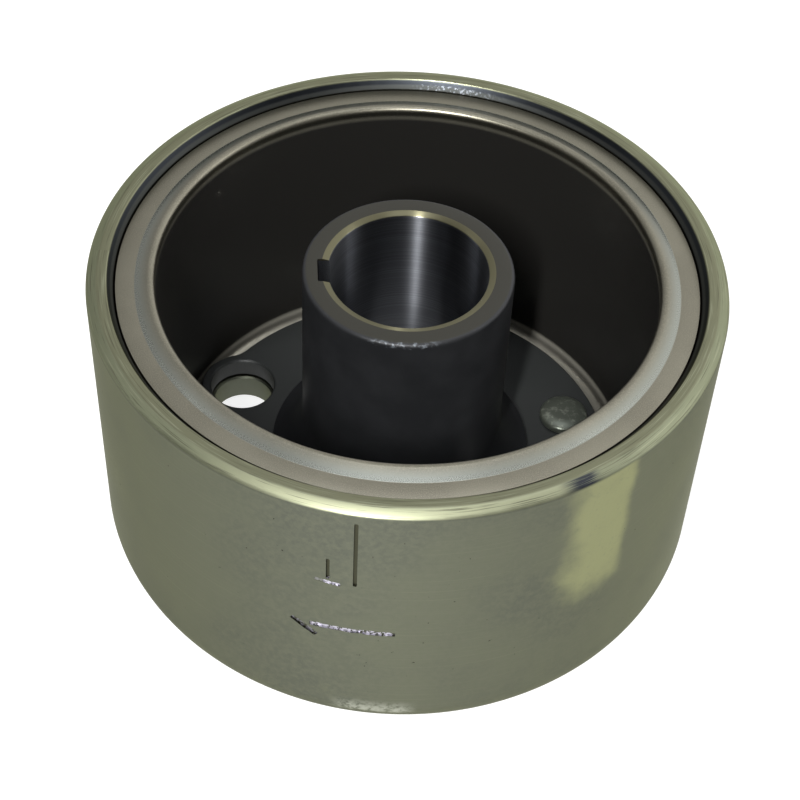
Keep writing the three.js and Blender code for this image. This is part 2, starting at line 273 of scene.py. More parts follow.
# %% Strike the arrow
ARROW_START, ARROW_TIP, ARROW_HEIGHT = -89.8, -103.2, DRUM_HEIGHT - 33.6 * MM
SHAFT_CUTS, SHAFT_CUT_LENGTH = 14, 1.6 * MM
struck = []
for i in range(SHAFT_CUTS):
    along = i / (SHAFT_CUTS - 1)
    struck.append(groove(
        f"shaft_{i}", ARROW_START + (ARROW_TIP - ARROW_START) * along,
        ARROW_HEIGHT + chisel.uniform(-0.08, 0.08) * MM,
        SHAFT_CUT_LENGTH, chisel.uniform(1.0, 1.35) * MM, chisel.uniform(0.22, 0.36) * MM,
        slope=90 + chisel.uniform(-9, 9),
    ))

BARB_ANGLE, BARB_DROP, BARB_LEAN = -105.0, 1.3 * MM, 36
BARB_CUTS, BARB_CUT_LENGTH, BARB_PITCH = 5, 1.9 * MM, 1 * MM
for i in range(BARB_CUTS):
    along = (i - (BARB_CUTS - 1) / 2) * BARB_PITCH
    struck.append(groove(
        f"barb_{i}", BARB_ANGLE + degrees(along * cos(radians(BARB_LEAN)) / DRUM_RADIUS),
        ARROW_HEIGHT - BARB_DROP - along * sin(radians(BARB_LEAN)),
        BARB_CUT_LENGTH, chisel.uniform(1.05, 1.3) * MM, chisel.uniform(0.25, 0.36) * MM,
        slope=90 - BARB_LEAN + chisel.uniform(-8, 8),
    ))

PUNCH_ANGLE, PUNCH_PITCH, PUNCH_LEAN = TICK_ANGLE - 1.6, 1.5, 82
PUNCH_HEIGHT, PUNCH_DROP = LINE_BOTTOM + 0.25 * MM, 0.2 * MM
PUNCH_LENGTH, PUNCH_WIDTH, PUNCH_DEPTHS = 1.6 * MM, 0.85 * MM, (0.05 * MM, 0.14 * MM, 0.23 * MM)
punched = [
    groove(
        f"punch_{i}", PUNCH_ANGLE + PUNCH_PITCH * i, PUNCH_HEIGHT - PUNCH_DROP * i,
        PUNCH_LENGTH, PUNCH_WIDTH, depth, slope=PUNCH_LEAN,
    )
    for i, depth in enumerate(PUNCH_DEPTHS)
]
print("struck", len(struck), "chisel cuts and", len(punched), "punch marks")

# %% Cut the marks and finish the drum
for batch in (milled, struck, punched):
    carve(drum, batch)
finish_surface(drum)
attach(drum, "root")
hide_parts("drum")

# %% [markdown]
# ## The hub
# The hub is one forging. A tube with a tapered bore grows out of a round flange through a hollow flare.
# The flange's upper face is milled flat round the rivets, which leaves a low collar where the cutter
# stopped. Two lugs stand out of the flange, one for each bolt hole.
#
# The turned part and the flange plate are made apart and joined. The plate's outline is drawn by
# swinging one vertex about the centres of its arcs, as a pair of compasses would.

# %% Turn the hub
COLLAR_RADIUS, COLLAR_TOP, FLARE = 26.2 * MM, FLANGE_TOP + 3.8 * MM, 12 * MM
BORE_MOUTH, BORE_TAPER = 15.1 * MM, 1 / 10
CHAMFER_WIDTH, CHAMFER_HEIGHT = 1.3 * MM, 0.4 * MM
NUT_SEAT, SEAT_WIDTH, TAIL = 11.5 * MM, 3.4 * MM, 0.5 * MM
BORE_END = BORE_MOUTH - (HUB_TOP - CHAMFER_HEIGHT - NUT_SEAT) * BORE_TAPER / 2
POCKET = BORE_END + SEAT_WIDTH
WAIST = FLANGE_UNDER + 2 * MM
EDGE_BREAK = 0.8 * MM

# The bevel takes a little less than the flare's whole tangent, so its ends stay clear of the corners.
flare_angle = acos(1 - (COLLAR_RADIUS - HUB_RADIUS) / FLARE)
flare_tangent = FLARE * tan(flare_angle / 2)
flare_corner = COLLAR_TOP + FLARE * sin(flare_angle) - flare_tangent
hub = turned("hub_forging", [
    (COLLAR_RADIUS, WAIST, 0),
    (COLLAR_RADIUS, COLLAR_TOP, 0.3 * MM),
    (HUB_RADIUS, flare_corner, 0.96 * flare_tangent),
    (HUB_RADIUS, HUB_TOP, 0.9 * MM),
    (BORE_MOUTH + CHAMFER_WIDTH, HUB_TOP, 0.15 * MM),
    (BORE_MOUTH, HUB_TOP - CHAMFER_HEIGHT, 0.2 * MM),
    (BORE_END, NUT_SEAT, 0.3 * MM),
    (POCKET, NUT_SEAT, 0.3 * MM),
    (POCKET, TAIL + EDGE_BREAK, 0),
    (POCKET + EDGE_BREAK, TAIL, 0),
    (HUB_RADIUS, TAIL, EDGE_BREAK),
    (HUB_RADIUS, WAIST, 0),
])
bore_widths = [round(2 * r / MM, 1) for r in (BORE_MOUTH, BORE_END)]
print("hub bore", bore_widths, "mm at the mouth and at the seat")

# %% The flange plate with its lugs
def swing(bm, vert, center, angle, steps):
    """Draws an arc by swinging a vertex about an upright axis, and returns the arc's last vertex."""
    made = bmesh.ops.spin(
        bm, geom=[vert], cent=center, axis=(0, 0, 1), dvec=(0, 0, 0), angle=radians(angle), steps=steps,
        use_merge=False, use_normal_flip=False, use_duplicate=False,
    )
    return made["geom_last"][0]


LUG_BLEND = 6 * MM
BLEND_STEPS, LUG_STEPS, SIDE_STEPS = 8, 40, 110
reach, span = FLANGE_RADIUS + LUG_BLEND, LUG_RADIUS + LUG_BLEND
blend_angle = degrees(acos((reach**2 + LUG_CIRCLE**2 - span**2) / (2 * reach * LUG_CIRCLE)))
to_blend = polar(reach, blend_angle) - Vector((LUG_CIRCLE, 0, 0))
lug_swing = degrees(atan2(to_blend.y, to_blend.x))

bm = bmesh.new()
pen = bm.verts.new(polar(FLANGE_RADIUS, LUG_ANGLES[0] - blend_angle, FLANGE_UNDER))
for angle in LUG_ANGLES:
    before = polar(reach, angle - blend_angle, FLANGE_UNDER)
    after = polar(reach, angle + blend_angle, FLANGE_UNDER)
    pen = swing(bm, pen, before, blend_angle - lug_swing, BLEND_STEPS)
    pen = swing(bm, pen, polar(LUG_CIRCLE, angle, FLANGE_UNDER), 2 * lug_swing, LUG_STEPS)
    pen = swing(bm, pen, after, blend_angle - lug_swing, BLEND_STEPS)
    pen = swing(bm, pen, Vector((0, 0, FLANGE_UNDER)), 180 - 2 * blend_angle, SIDE_STEPS)
bmesh.ops.remove_doubles(bm, verts=bm.verts[:], dist=1e-6)
outline = bmesh.ops.contextual_create(bm, geom=bm.edges[:])["faces"]
raised = bmesh.ops.extrude_face_region(bm, geom=outline)
top = [g for g in raised["geom"] if isinstance(g, bmesh.types.BMVert)]
bmesh.ops.translate(bm, verts=top, vec=(0, 0, FLANGE_TOP - FLANGE_UNDER))
bmesh.ops.recalc_face_normals(bm, faces=bm.faces[:])
rim_edges = [e for e in bm.edges if min(v.co.z for v in e.verts) > FLANGE_UNDER + MM]
bmesh.ops.bevel(
    bm, geom=rim_edges, offset=0.45 * MM, offset_type="OFFSET", segments=3,
    profile=0.5, affect="EDGES", material=-1,
)
plate = to_object(bm, "flange_plate")
CORE_RADIUS = HUB_RADIUS - 2 * MM
core = turned("core", [
    (0, FLANGE_UNDER - PAST, 0), (CORE_RADIUS, FLANGE_UNDER - PAST, 0),
    (CORE_RADIUS, FLANGE_TOP + PAST, 0), (0, FLANGE_TOP + PAST, 0),
], steps=64)
carve(plate, [core])
carve(hub, [plate], "UNION")
print("flange lug reach", round((LUG_CIRCLE + LUG_RADIUS) / MM, 1), "mm")

# %% Holes and keyway
# The keyway is broached parallel to the axis through the whole bore.
KEY_WIDTH, KEY_REACH, LUG_HOLE = 6 * MM, BORE_MOUTH + 2 * MM, 6.7 * MM
bm = bmesh.new()
bmesh.ops.create_cube(bm, size=1)
bmesh.ops.scale(bm, vec=(KEY_REACH, KEY_WIDTH, HUB_TOP + 2 * PAST), verts=bm.verts[:])
key_corners = [e for e in bm.edges if abs(e.verts[0].co.z - e.verts[1].co.z) > MM and e.verts[0].co.x > 0]
bmesh.ops.bevel(
    bm, geom=key_corners, offset=0.35 * MM, offset_type="OFFSET", segments=3,
    profile=0.5, affect="EDGES", material=-1,
)
bmesh.ops.translate(bm, verts=bm.verts[:], vec=(KEY_REACH / 2, 0, HUB_TOP / 2))
bmesh.ops.rotate(bm, verts=bm.verts[:], cent=(0, 0, 0), matrix=Matrix.Rotation(radians(KEYWAY_ANGLE), 3, "Z"))
broach = to_object(bm, "broach")
lug_drills = [
    drill(f"lug_drill_{i}", polar(LUG_CIRCLE, a), LUG_HOLE, FLANGE_UNDER, FLANGE_TOP)
    for i, a in enumerate(LUG_ANGLES)
]
rivet_drills = [
    drill(f"flange_drill_{i}", polar(RIVET_CIRCLE, a), RIVET_HOLE, FLANGE_UNDER, FLANGE_TOP)
    for i, a in enumerate(RIVET_ANGLES)
]
carve(hub, [broach] + lug_drills + rivet_drills)
finish_surface(hub)
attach(hub, "root")
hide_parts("hub")

# %% [markdown]
# ## The magnet sleeve
# The sleeve is sheet steel, one millimetre thick, drawn in a press. Its section is one line: a flat
# flange, a slope up to the lip, a straight wall, and a curl that turns in under the magnets. The line is
# spun into a surface, and the sheet's thickness is given to it afterwards, so it is even all over.

# %% Draw the sleeve
SHEET = 1 * MM
LIP, LIP_RISE, CURL = 1.1 * MM, 1.1 * MM, 3 * MM
FLANGE_PLANE = LIP_CROWN - LIP_RISE - SHEET / 2
WALL_PLANE = SLEEVE_INNER + SHEET / 2
CURL_PLANE = FLANGE_UNDER + SHEET / 2


def sheet_ring(name, corners):
    """The middle surface of a bent sheet ring: an open section with rounded corners, spun."""
    bm = bmesh.new()
    verts = [bm.verts.new((r, 0, z)) for r, z, _ in corners]
    bm.faces.new(verts)
    closing = bm.edges.get((verts[0], verts[-1]))
    for vert, (_, _, rounding) in zip(verts, corners):
        if rounding:
            bmesh.ops.bevel(
                bm, geom=[vert], offset=rounding, offset_type="OFFSET", segments=10,
                profile=0.5, affect="VERTICES", material=-1,
            )
    bmesh.ops.delete(bm, geom=bm.faces[:], context="FACES_ONLY")
    bmesh.ops.delete(bm, geom=[closing], context="EDGES")
    spin_round(bm)
    return to_object(bm, name)


# The lip's roll is tangent to the slope and to the wall, and its outer face reaches the crown.
LIP_SLOPE = radians(24)
lip_roll = (LIP - SHEET / 2) / tan((radians(90) - LIP_SLOPE) / 2)
lip_corner = LIP_CROWN - LIP + lip_roll
lip_foot = WALL_PLANE + (lip_corner - FLANGE_PLANE) / tan(LIP_SLOPE)
sleeve = sheet_ring("magnet_sleeve_drawn", [
    (SLEEVE_RADIUS, FLANGE_PLANE, 0),
    (lip_foot, FLANGE_PLANE, 0.2 * MM),
    (WALL_PLANE, lip_corner, lip_roll),
    (WALL_PLANE, CURL_PLANE, CURL + SHEET / 2),
    (SLEEVE_INNER - CURL - 0.2 * MM, CURL_PLANE, 0),
])
thicken = sleeve.modifiers.new("sheet thickness", "SOLIDIFY")
thicken.thickness = SHEET
thicken.offset = 0
thicken.use_even_offset = True
apply_modifiers(sleeve)
print("sleeve", len(sleeve.data.polygons), "faces")

# %% [markdown]
# The lugs of the hub reach the sleeve's wall, so the curl is notched round each of them. The sheet's cut
# edges are broken by tumbling, which a narrow bevel gives before the notches are punched.

# %% Break the sheet's edges and notch it
tumbled = sleeve.modifiers.new("tumbled edges", "BEVEL")
tumbled.width = 0.22 * MM
tumbled.segments = 2
tumbled.limit_method = "ANGLE"
tumbled.angle_limit = radians(60)
apply_modifiers(sleeve)
notches = [
    turned(f"notch_{i}", [
        (0, FLANGE_UNDER - PAST, 0), (LUG_RADIUS + GAP, FLANGE_UNDER - PAST, 0),
        (LUG_RADIUS + GAP, FLANGE_TOP + GAP, 0), (0, FLANGE_TOP + GAP, 0),
    ], steps=96, at=polar(LUG_CIRCLE, a))
    for i, a in enumerate(LUG_ANGLES)
]
carve(sleeve, notches)
finish_surface(sleeve)
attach(sleeve, "root")
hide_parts("magnet_sleeve")

# %% [markdown]
# ## The rivets
# Each rivet is cold-headed wire. It has a low round head on the flange, a plain shank, and a tail that
# was pressed into the countersink of the floor. It is one section, spun at the rivet's place.

# %% Head the rivets
HEAD_RADIUS, HEAD_HEIGHT, SHANK_RADIUS = 5 * MM, 2 * MM, 3.1 * MM
SEAT = FLANGE_TOP + GAP
rivets = []
for i, angle in enumerate(RIVET_ANGLES, start=1):
    rivet = turned(f"rivet_head_{i}", [
        (0, TAIL, 0),
        (SHANK_RADIUS + SINK - TAIL, TAIL, 0.15 * MM),
        (SHANK_RADIUS, SINK, 0),
        (SHANK_RADIUS, SEAT, 0),
        (HEAD_RADIUS, SEAT, 0.2 * MM),
        (HEAD_RADIUS, SEAT + 1.15 * MM, 0.5 * MM),
        (3.4 * MM, SEAT + 1.85 * MM, 0.9 * MM),
        (0, SEAT + HEAD_HEIGHT, 0),
    ], steps=72, at=polar(RIVET_CIRCLE, angle))
    finish_surface(rivet, 40)
    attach(rivet, "root")
    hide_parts(f"rivet_{i}")
    rivets.append(rivet)

# %% [markdown]
# ## Finishes
# Every finish is a node material. Patterns read Object coordinates, which are metres on the real piece,
# so a feed mark or a grain keeps its true size. Turned pieces are marked in rings, so most patterns are
# drawn from the distance to the turning axis and the height.

# %% Helpers for materials
def linear(hex_colour):
    """Turns an sRGB hex colour into the linear colour that a shader takes."""
    parts = [int(hex_colour[i:i + 2], 16) / 255 for i in (0, 2, 4)]
    return (*[p / 12.92 if p <= 0.04045 else ((p + 0.055) / 1.055) ** 2.4 for p in parts], 1)


def add(tree, kind, sockets=(), **settings):
    """Adds a shader node. A socket takes a number, a colour, or another node's output."""
    made = tree.nodes.new("ShaderNode" + kind)
    for name, value in settings.items():
        setattr(made, name, value)
    for key, value in dict(sockets).items():
        if isinstance(value, bpy.types.NodeSocket):
            tree.links.new(value, made.inputs[key])
        else:
            made.inputs[key].default_value = value
    return made


def new_finish(name):
    """An empty material with its shader and output, and the coordinates of a turned piece."""
    material = bpy.data.materials.new(name)
    material.use_nodes = True
    tree = material.node_tree
    tree.nodes.clear()
    shader = add(tree, "BsdfPrincipled")
    add(tree, "OutputMaterial", {"Surface": shader.outputs[0]})
    place = add(tree, "TexCoord").outputs["Object"]
    split = add(tree, "SeparateXYZ", {0: place})
    flat = add(tree, "VectorMath", {0: place, 1: (1, 1, 0)}, operation="MULTIPLY")
    radius = add(tree, "VectorMath", {0: flat.outputs[0]}, operation="LENGTH").outputs["Value"]
    return material, tree, shader, place, radius, split.outputs["Z"]


def ramp(tree, value, start, end):
    """Rises smoothly from 0 at start to 1 at end; start may be the larger of the two."""
    low, high = sorted((start, end))
    first, last = (0, 1) if start < end else (1, 0)
    return add(
        tree, "MapRange",
        {"Value": value, "From Min": low, "From Max": high, "To Min": first, "To Max": last},
        interpolation_type="SMOOTHSTEP",
    ).outputs[0]


def overlap(tree, *masks):
    """The product of several masks."""
    total = masks[0]
    for mask in masks[1:]:
        total = add(tree, "Math", {0: total, 1: mask}, operation="MULTIPLY").outputs[0]
    return total


def tint(tree, base, mask, colour):
    """Lays a colour over another where a mask is 1."""
    return add(tree, "Mix", {0: mask, 6: base, 7: colour}, data_type="RGBA").outputs[2]


def rings(tree, radius, height, pitch, detail=3):
    """Uneven rings round the turning axis: noise over radius and height only, a pitch apart."""
    section = add(tree, "CombineXYZ", {"X": radius, "Y": height}).outputs[0]
    return add(
        tree, "TexNoise", {"Vector": section, "Scale": 1 / pitch, "Detail": detail, "Roughness": 0.6},
    ).outputs[0]


def grain(tree, place, size, detail=4, roughness=0.55):
    """Even noise with grains of a real size."""
    return add(
        tree, "TexNoise", {"Vector": place, "Scale": 1 / size, "Detail": detail, "Roughness": roughness},
    ).outputs[0]


def shift(tree, value, centre, amount):
    """A number that a pattern moves by up to half the amount either way."""
    return add(
        tree, "Math", {0: value, 1: amount, 2: centre - amount / 2}, operation="MULTIPLY_ADD",
    ).outputs[0]


def relief(tree, height, depth):
    """A bump whose highest point stands a real depth above its lowest."""
    return add(tree, "Bump", {"Height": height, "Distance": depth, "Strength": 1}).outputs[0]


def give(material, *pieces):
    """Puts one material on whole pieces."""
    for piece in pieces:
        piece.data.materials.clear()
        piece.data.materials.append(material)


# %% [markdown]
# ### The drum: turned steel, passivated olive
# The steel was turned and then dipped, which leaves a thin olive film. The turning marks run round the
# drum and spread every reflection upright, so the shader is anisotropic about the axis. The film lies in
# soft clouds with a fine mottle, and the ridges that the tool left are a little brighter. One upright
# patch of the wall is painted lighter, a painted reflection of a softbox, and its edge is uneven.

# %% The film on the wall
def arc(tree, angle, start, full, fading, end):
    """A stretch of the circumference in degrees, rising from start to full and falling to the end."""
    rise = ramp(tree, angle, radians(start), radians(full))
    fall = ramp(tree, angle, radians(end), radians(fading))
    return overlap(tree, rise, fall)


def olive_film(tree, place, feed, mottle):
    """The film in clouds, with brighter rings."""
    cloud = grain(tree, place, 26 * MM, detail=3)
    colour = tint(tree, linear("606359"), ramp(tree, cloud, 0.35, 0.65), linear("696c5d"))
    colour = tint(tree, colour, ramp(tree, mottle, 0.3, 0.75), linear("6d6f61"))
    ridges = overlap(tree, ramp(tree, feed, 0.5, 0.8), ramp(tree, cloud, 0.4, 0.9))
    return tint(tree, colour, ridges, linear("828470"))


def painted_reflection_patch(tree, colour, where, on_wall, mottle):
    """A painted reflection of a softbox: a lighter patch, whose edge a coarse noise breaks up."""
    place, _, height, angle = where
    patch = overlap(tree, arc(tree, angle, -65, -54, -49, -44.5), ramp(tree, height, 22 * MM, 38 * MM))
    uneven = add(tree, "Math", {0: grain(tree, place, 7 * MM), 1: patch}, operation="ADD").outputs[0]
    reflection_patch_mask = overlap(tree, on_wall, ramp(tree, uneven, 0.65, 1.5), ramp(tree, mottle, -0.1, 0.5))
    # The lighter colour here is a painted reflection of a softbox on the wall.
    return tint(tree, colour, reflection_patch_mask, linear("929472"))


# %% [markdown]
# The film has worn off the rim's chamfer and land, which are brighter and streaked the way they were
# turned, and the chamfer is painted lighter still across the front, a painted highlight. A dark stain
# crosses the chamfer at one place. Oil stays in the cone behind the rim and in the bore, so both are
# dark, and the cone has a few painted highlights as small glints.

# %% The rim and the cone
def worn_rim_and_painted_highlight(tree, colour, where):
    """Colours the rim, and also returns a mask of its flat land."""
    _, radius, height, angle = where
    sweep = add(tree, "Math", {0: angle, 1: 1.2 * MM}, operation="MULTIPLY").outputs[0]
    round_axis = add(tree, "CombineXYZ", {"X": radius, "Y": height, "Z": sweep}).outputs[0]
    streaks = grain(tree, round_axis, 0.22 * MM, detail=2)

    rim = ramp(tree, height, DRUM_HEIGHT - 1.25 * MM, DRUM_HEIGHT - 0.9 * MM)
    chamfer = overlap(tree, rim, ramp(tree, radius, DRUM_RADIUS - 2.1 * MM, DRUM_RADIUS - 1.75 * MM))
    # The chamfer is painted lighter across its front: a painted highlight of the key light.
    painted_front_highlight = arc(tree, angle, -132, -112, -64, -52)
    stained = overlap(tree, arc(tree, angle, -63, -58.5, -56.5, -53.5), ramp(tree, streaks, 0.35, 0.5))

    colour = tint(tree, colour, rim, linear("80816a"))
    colour = tint(tree, colour, chamfer, tint(tree, linear("888c74"), painted_front_highlight, linear("a3a68a")))
    colour = tint(tree, colour, overlap(tree, rim, ramp(tree, streaks, 0.55, 0.75)), linear("9b9e86"))
    colour = tint(tree, colour, overlap(tree, rim, ramp(tree, streaks, 0.44, 0.28)), linear("6a6b59"))
    colour = tint(tree, colour, overlap(tree, chamfer, stained), linear("3e4147"))
    return colour, add(tree, "Math", {0: rim, 1: chamfer}, operation="SUBTRACT").outputs[0]


def oily_cone_and_painted_glints(tree, colour, where):
    """Darkens the cone, more so at its edge, and the bore behind it, and adds painted glints on the cone."""
    place, radius, height, angle = where
    cone = overlap(
        tree, ramp(tree, radius, DRUM_BORE + 1.2 * MM, DRUM_BORE + 1.0 * MM),
        ramp(tree, height, DRUM_HEIGHT - 2.5 * MM, DRUM_HEIGHT - 2.2 * MM),
    )
    edge = overlap(tree, cone, ramp(tree, height, DRUM_HEIGHT - 1.3 * MM, DRUM_HEIGHT - 0.8 * MM))
    # Painted glints: small painted highlights on the back of the cone.
    painted_glints = overlap(
        tree, cone, arc(tree, angle, 70, 82, 86, 92), ramp(tree, grain(tree, place, 0.6 * MM), 0.5, 0.62),
        ramp(tree, height, DRUM_HEIGHT - 0.7 * MM, DRUM_HEIGHT - 1.2 * MM),
    )
    bore = overlap(
        tree, ramp(tree, radius, DRUM_BORE + 0.2 * MM, DRUM_BORE + 0.05 * MM),
        ramp(tree, height, FLOOR - 0.1 * MM, FLOOR + 0.1 * MM),
    )
    colour = tint(tree, colour, cone, linear("4b4d4c"))
    colour = tint(tree, colour, edge, linear("34373b"))
    colour = tint(tree, colour, painted_glints, linear("8d9299"))
    return tint(tree, colour, bore, linear("26251f"))


# %% [markdown]
# The milled marks are dark with oil. The chisel and the punch broke through the film, so the struck
# marks show chips of bare steel, brightest along the arrow's shaft. The drilled holes are plain cut
# steel. The foot of the wall is scuffed from being set down, and small dark specks lie on the wall.

# %% Marks, holes and wear
def bared_marks(tree, colour, where, across):
    """Darkens what is sunk into the wall, and shows bare steel where it was struck."""
    place, radius, height, angle = where
    sunk = overlap(
        tree, ramp(tree, radius, DRUM_RADIUS - 0.03 * MM, DRUM_RADIUS - 0.1 * MM),
        ramp(tree, radius, DRUM_RADIUS - 1.0 * MM, DRUM_RADIUS - 0.7 * MM),
        ramp(tree, height, DRUM_HEIGHT - 2.0 * MM, DRUM_HEIGHT - 2.3 * MM),
        ramp(tree, height, 8 * MM, 9 * MM),
    )
    arrow = ramp(tree, height, ARROW_HEIGHT + 8.1 * MM, ARROW_HEIGHT + 6.1 * MM)
    punches = overlap(
        tree, ramp(tree, height, LINE_BOTTOM + 1.2 * MM, LINE_BOTTOM + 1.0 * MM),
        ramp(tree, across, -8.5 * MM, -9 * MM),
    )
    hammered = add(tree, "Math", {0: arrow, 1: punches}, operation="MAXIMUM").outputs[0]
    chips = overlap(tree, sunk, hammered, ramp(tree, grain(tree, place, 0.6 * MM), 0.4, 0.54))
    shaft = overlap(
        tree, chips, ramp(tree, angle, radians(-104), radians(-103.4)),
        ramp(tree, height, ARROW_HEIGHT - 0.75 * MM, ARROW_HEIGHT - 0.35 * MM),
    )
    colour = tint(tree, colour, sunk, linear("46463a"))
    colour = tint(tree, colour, chips, linear("87858c"))
    return tint(tree, colour, shaft, linear("c4c1cd"))


def holes_and_wear(tree, colour, where, on_wall, mottle):
    """Cut steel in the drilled holes, a scuffed foot, and specks."""
    place, radius, height, angle = where
    holes = overlap(
        tree, ramp(tree, radius, HUB_RADIUS + 2 * MM, HUB_RADIUS + 3 * MM),
        ramp(tree, radius, DRUM_BORE - 4.9 * MM, DRUM_BORE - 5.9 * MM),
        ramp(tree, height, 0.25 * MM, 0.5 * MM), ramp(tree, height, FLOOR - 0.05 * MM, FLOOR - 0.2 * MM),
    )
    scuffed = overlap(
        tree, on_wall, arc(tree, angle, -101, -96, -88, -84), ramp(tree, height, 9 * MM, 5 * MM),
        ramp(tree, mottle, 0.3, 0.6),
    )
    specks = overlap(tree, on_wall, ramp(tree, grain(tree, place, 1.1 * MM, detail=2), 0.74, 0.78))
    colour = tint(tree, colour, holes, linear("65685c"))
    colour = tint(tree, colour, scuffed, linear("a9ab9f"))
    return tint(tree, colour, specks, linear("32312a"))


# %% Turned steel
def turned_steel():
    material, tree, shader, place, radius, height = new_finish("turned steel, olive passivated")
    split = add(tree, "SeparateXYZ", {0: place})
    across = split.outputs["X"]
    angle = add(tree, "Math", {0: split.outputs["Y"], 1: across}, operation="ARCTAN2").outputs[0]
    where = (place, radius, height, angle)
    # Real feed marks are about 0.1 mm apart, too fine to show, so they are drawn 0.5 mm apart.
    feed = rings(tree, radius, height, 0.5 * MM)
    mottle = grain(tree, place, 1.2 * MM, detail=3, roughness=0.7)
    on_wall = ramp(tree, radius, DRUM_RADIUS - 0.8 * MM, DRUM_RADIUS - 0.3 * MM)

    colour = olive_film(tree, place, feed, mottle)
    colour = painted_reflection_patch(tree, colour, where, on_wall, mottle)
    colour, land = worn_rim_and_painted_highlight(tree, colour, where)
    colour = oily_cone_and_painted_glints(tree, colour, where)
    colour = bared_marks(tree, colour, where, across)
    colour = holes_and_wear(tree, colour, where, on_wall, mottle)
    tree.links.new(colour, shader.inputs["Base Color"])
    shader.inputs["Metallic"].default_value = 1
    # The film tints light that grazes the wall too, so it doesn't turn white at the edges.
    shader.inputs["Specular Tint"].default_value = linear("c8c8b8")

    # The wall shows the turning most. The land was turned finer, so it is smoother by 0.1.
    tree.links.new(shift(tree, on_wall, 0.35, 0.5), shader.inputs["Anisotropic"])
    shader.inputs["Anisotropic Rotation"].default_value = 0.25
    tangent = add(tree, "Tangent", direction_type="RADIAL", axis="Z").outputs[0]
    tree.links.new(tangent, shader.inputs["Tangent"])
    finer = add(tree, "Math", {0: land, 1: 0.1}, operation="MULTIPLY").outputs[0]
    rough = shift(tree, mottle, 0.46, 0.14)
    rough = add(tree, "Math", {0: rough, 1: finer}, operation="SUBTRACT").outputs[0]
    tree.links.new(rough, shader.inputs["Roughness"])
    tree.links.new(relief(tree, feed, 0.010 * MM), shader.inputs["Normal"])
    return material


give(turned_steel(), drum)

# %% [markdown]
# ### The hub: forged, machined and blackened
# Black oxide is a thin, dark conversion of the steel itself. The coat hides most of the metal, so the
# shader is only a third metallic, and the oil in it gives a dull sheen. The plate was milled before it
# was dipped and is a shade lighter, the top face is a shade browner, and a painted highlight brightens
# the front edge of that face.

# %% Blackened steel
def blackened_steel():
    material, tree, shader, place, radius, height = new_finish("black oxide on steel")
    cloud = grain(tree, place, 9 * MM)
    fine = grain(tree, place, 0.9 * MM, detail=3)
    toward_back = add(tree, "SeparateXYZ", {0: place}).outputs["Y"]
    plate = overlap(
        tree, ramp(tree, height, FLANGE_TOP + 0.8 * MM, FLANGE_TOP + 0.3 * MM),
        ramp(tree, radius, COLLAR_RADIUS - 0.2 * MM, COLLAR_RADIUS + 0.2 * MM),
    )
    face = overlap(
        tree, ramp(tree, height, HUB_TOP - 0.5 * MM, HUB_TOP - 0.2 * MM),
        ramp(tree, radius, HUB_RADIUS - 0.5 * MM, HUB_RADIUS - 0.8 * MM),
    )
    # A painted highlight: the front edge of the top face is painted bright.
    painted_edge_highlight = overlap(
        tree, ramp(tree, height, HUB_TOP - 1.2 * MM, HUB_TOP - 0.6 * MM),
        ramp(tree, radius, HUB_RADIUS - 1.0 * MM, HUB_RADIUS - 0.6 * MM),
        ramp(tree, grain(tree, place, 0.8 * MM), 0.48, 0.7),
        ramp(tree, toward_back, -18 * MM, -20 * MM),
    )
    colour = tint(tree, linear("28292b"), ramp(tree, cloud, 0.35, 0.7), linear("2f3032"))
    colour = tint(tree, colour, plate, linear("373938"))
    colour = tint(tree, colour, face, linear("2f2e27"))
    colour = tint(tree, colour, painted_edge_highlight, linear("7d8389"))
    tree.links.new(colour, shader.inputs["Base Color"])
    shader.inputs["Metallic"].default_value = 0.35
    tree.links.new(shift(tree, cloud, 0.46, 0.14), shader.inputs["Roughness"])
    # These feed marks are drawn coarser than they are as well, 0.35 mm apart.
    feed = rings(tree, radius, height, 0.35 * MM)
    marks = add(tree, "Math", {0: fine, 1: feed}, operation="ADD").outputs[0]
    tree.links.new(relief(tree, marks, 0.01 * MM), shader.inputs["Normal"])
    return material


# %% [markdown]
# The bore and its chamfer are ground after blackening, which takes the black away. Grinding scratches
# run round the bore, so a lamp's reflection is drawn out into one upright line. Oil tints the chamfer.

# %% Ground steel in the bore
def ground_steel():
    material, tree, shader, _, radius, height = new_finish("ground steel")
    # Real grinding scratches are a few hundredths of a millimetre wide, so they are drawn at 0.25 mm.
    scratches = rings(tree, radius, height, 0.25 * MM, detail=4)
    colour = tint(tree, linear("66686c"), ramp(tree, scratches, 0.4, 0.7), linear("76787d"))
    mouth = ramp(tree, height, HUB_TOP - CHAMFER_HEIGHT - 0.1 * MM, HUB_TOP - CHAMFER_HEIGHT)
    colour = tint(tree, colour, mouth, linear("75725b"))
    tree.links.new(colour, shader.inputs["Base Color"])
    shader.inputs["Metallic"].default_value = 1
    shader.inputs["Roughness"].default_value = 0.31
    shader.inputs["Anisotropic"].default_value = 1
    shader.inputs["Anisotropic Rotation"].default_value = 0.25
    tangent = add(tree, "Tangent", direction_type="RADIAL", axis="Z").outputs[0]
    tree.links.new(tangent, shader.inputs["Tangent"])
    return material


give(blackened_steel(), hub)
hub.data.materials.append(ground_steel())
ground_faces = 0
for face in hub.data.polygons:
    centre = face.center
    if centre.xy.length < BORE_MOUTH + CHAMFER_WIDTH and centre.z > NUT_SEAT:
        face.material_index = 1
        ground_faces += 1
print("ground faces", ground_faces)
